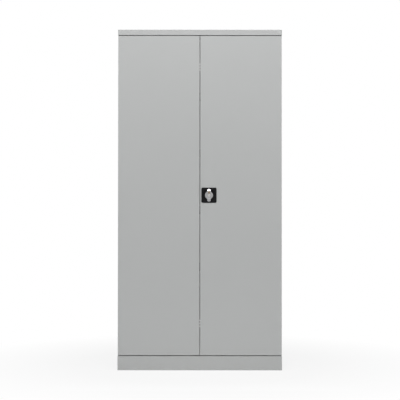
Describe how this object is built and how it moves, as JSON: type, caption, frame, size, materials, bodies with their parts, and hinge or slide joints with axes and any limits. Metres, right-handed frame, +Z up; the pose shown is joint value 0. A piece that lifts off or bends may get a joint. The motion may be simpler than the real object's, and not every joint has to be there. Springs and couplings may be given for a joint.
{
  "type": "battery charging cabinet",
  "caption": "Tall steel cabinet with two doors, rod lock with a turning handle in a round dish, shelves on slotted uprights, socket strips and a breaker box for charging batteries.",
  "frame": {"origin": "on the floor, under the middle of the cabinet's plinth", "axes": "+Z up; +X to the right when facing the doors; +Y from the doors to the back"},
  "size_m": [0.94, 0.5033, 1.95],
  "materials": {
    "cabinet_paint": "light grey powder coat, fine orange peel, satin",
    "zinc_steel": "zinc-plated steel, semi-gloss",
    "dish_black": "black glass-filled polyamide, fine grain",
    "handle_silver": "die-cast zinc, satin chrome plated",
    "key_metal": "nickel-plated brass, satin",
    "strip_shell": "dark grey moulded plastic",
    "rocker_red": "red translucent switch rocker",
    "duct_grey": "light grey trunking plastic",
    "box_white": "white moulded plastic",
    "flap_smoke": "smoked clear plastic",
    "module_grey": "light grey moulded plastic",
    "lever_blue": "blue moulded plastic",
    "button_yellow": "yellow moulded plastic",
    "rubber_black": "soft black rubber"
  },
  "bodies": {
    "cabinet": {"back_panel": "cabinet_paint", "base_plinth": "cabinet_paint", "breaker_box": "box_white", "cable_grommet": "rubber_black", "door_stop_pad": "rubber_black", "duct_lid": "duct_grey", "duct_wall_left": "duct_grey", "duct_wall_right": "duct_grey", "floor_panel": "cabinet_paint", "front_rail_top": "cabinet_paint", "hinge_bracket_left_high": "zinc_steel", "hinge_bracket_left_low": "zinc_steel", "hinge_bracket_left_mid": "zinc_steel", "hinge_bracket_right_high": "zinc_steel", "hinge_bracket_right_low": "zinc_steel", "hinge_bracket_right_mid": "zinc_steel", "mcb_module": "module_grey", "rcd_module": "module_grey", "shelf_1": "cabinet_paint", "shelf_2": "cabinet_paint", "shelf_3": "cabinet_paint", "shelf_4": "cabinet_paint", "side_panel_left": "cabinet_paint", "side_panel_right": "cabinet_paint", "socket_strip_1": "strip_shell", "socket_strip_2": "strip_shell", "socket_strip_3": "strip_shell", "socket_strip_4": "strip_shell", "top_cap": "cabinet_paint", "upright_front_left": "zinc_steel", "upright_front_right": "zinc_steel", "upright_rear_left": "zinc_steel", "upright_rear_right": "zinc_steel"},
    "door_left_leaf": {"door_left": "cabinet_paint", "door_stiffener_left": "cabinet_paint", "hinge_leaf_left_low": "zinc_steel", "hinge_leaf_left_mid": "zinc_steel", "hinge_leaf_left_high": "zinc_steel"},
    "door_right_leaf": {"door_right": "cabinet_paint", "door_stiffener_right": "cabinet_paint", "hinge_leaf_right_low": "zinc_steel", "hinge_leaf_right_mid": "zinc_steel", "hinge_leaf_right_high": "zinc_steel", "handle_dish": "dish_black", "dish_retainer": "zinc_steel", "rod_guide_top": "zinc_steel", "rod_guide_bottom": "zinc_steel"},
    "handle": {"swivel_handle": "handle_silver", "lock_cam": "zinc_steel"},
    "key_plug": {"key_cylinder": "key_metal"},
    "rod_top_slide": {"rod_top": "zinc_steel"},
    "rod_bottom_slide": {"rod_bottom": "zinc_steel"},
    "flap": {"breaker_flap": "flap_smoke"},
    "rcd_toggle": {"rcd_lever": "lever_blue"},
    "mcb_toggle": {"mcb_lever": "lever_blue"},
    "test_button": {"rcd_test_button": "button_yellow"},
    "rocker_1": {"socket_rocker_1": "rocker_red"},
    "rocker_2": {"socket_rocker_2": "rocker_red"},
    "rocker_3": {"socket_rocker_3": "rocker_red"},
    "rocker_4": {"socket_rocker_4": "rocker_red"}
  },
  "joints": [
    {"name": "door_left_hinge", "type": "hinge", "parent": "cabinet", "child": "door_left_leaf", "pos_m": [-0.4637, -0.234, 1], "axis": [0, 0, -1], "range_deg": [0, 110]},
    {"name": "door_right_hinge", "type": "hinge", "parent": "cabinet", "child": "door_right_leaf", "pos_m": [0.4637, -0.234, 1], "axis": [0, 0, 1], "range_deg": [0, 110]},
    {"name": "handle_turn", "type": "hinge", "parent": "door_right_leaf", "child": "handle", "pos_m": [0.052, -0.245, 1], "axis": [0, 1, 0], "range_deg": [0, 90]},
    {"name": "key_turn", "type": "hinge", "parent": "handle", "child": "key_plug", "pos_m": [0.052, -0.245, 1], "axis": [0, 1, 0], "range_deg": [0, 90]},
    {"name": "rod_top_travel", "type": "slide", "parent": "door_right_leaf", "child": "rod_top_slide", "axis": [0, 0, 1], "range_m": [0, 0.02]},
    {"name": "rod_bottom_travel", "type": "slide", "parent": "door_right_leaf", "child": "rod_bottom_slide", "axis": [0, 0, -1], "range_m": [0, 0.02]},
    {"name": "flap_hinge", "type": "hinge", "parent": "cabinet", "child": "flap", "pos_m": [-0.3947, 0.1696, 1.6933], "axis": [-1, 0, 0], "range_deg": [0, 110]},
    {"name": "rcd_lever_pivot", "type": "hinge", "parent": "cabinet", "child": "rcd_toggle", "pos_m": [-0.4037, 0.1811, 1.6613], "axis": [1, 0, 0], "range_deg": [0, 60]},
    {"name": "mcb_lever_pivot", "type": "hinge", "parent": "cabinet", "child": "mcb_toggle", "pos_m": [-0.3767, 0.1811, 1.6613], "axis": [1, 0, 0], "range_deg": [0, 60]},
    {"name": "test_button_press", "type": "slide", "parent": "cabinet", "child": "test_button", "axis": [0, 1, 0], "range_m": [0, 0.0015], "stiffness_N_per_m": 300},
    {"name": "rocker_1_tilt", "type": "hinge", "parent": "cabinet", "child": "rocker_1", "pos_m": [-0.3194, 0.2099, 0.5663], "axis": [0, 0, -1], "range_deg": [0, 14]},
    {"name": "rocker_2_tilt", "type": "hinge", "parent": "cabinet", "child": "rocker_2", "pos_m": [-0.3194, 0.2099, 0.9163], "axis": [0, 0, -1], "range_deg": [0, 14]},
    {"name": "rocker_3_tilt", "type": "hinge", "parent": "cabinet", "child": "rocker_3", "pos_m": [-0.3194, 0.2099, 1.2663], "axis": [0, 0, -1], "range_deg": [0, 14]},
    {"name": "rocker_4_tilt", "type": "hinge", "parent": "cabinet", "child": "rocker_4", "pos_m": [-0.2944, 0.2099, 1.6163], "axis": [0, 0, -1], "range_deg": [0, 14]}
  ],
  "couplings": [
    {"joint": "rod_top_travel", "follows": "handle_turn", "m_per_rad": 0.012732},
    {"joint": "rod_bottom_travel", "follows": "handle_turn", "m_per_rad": 0.012732}
  ]
}
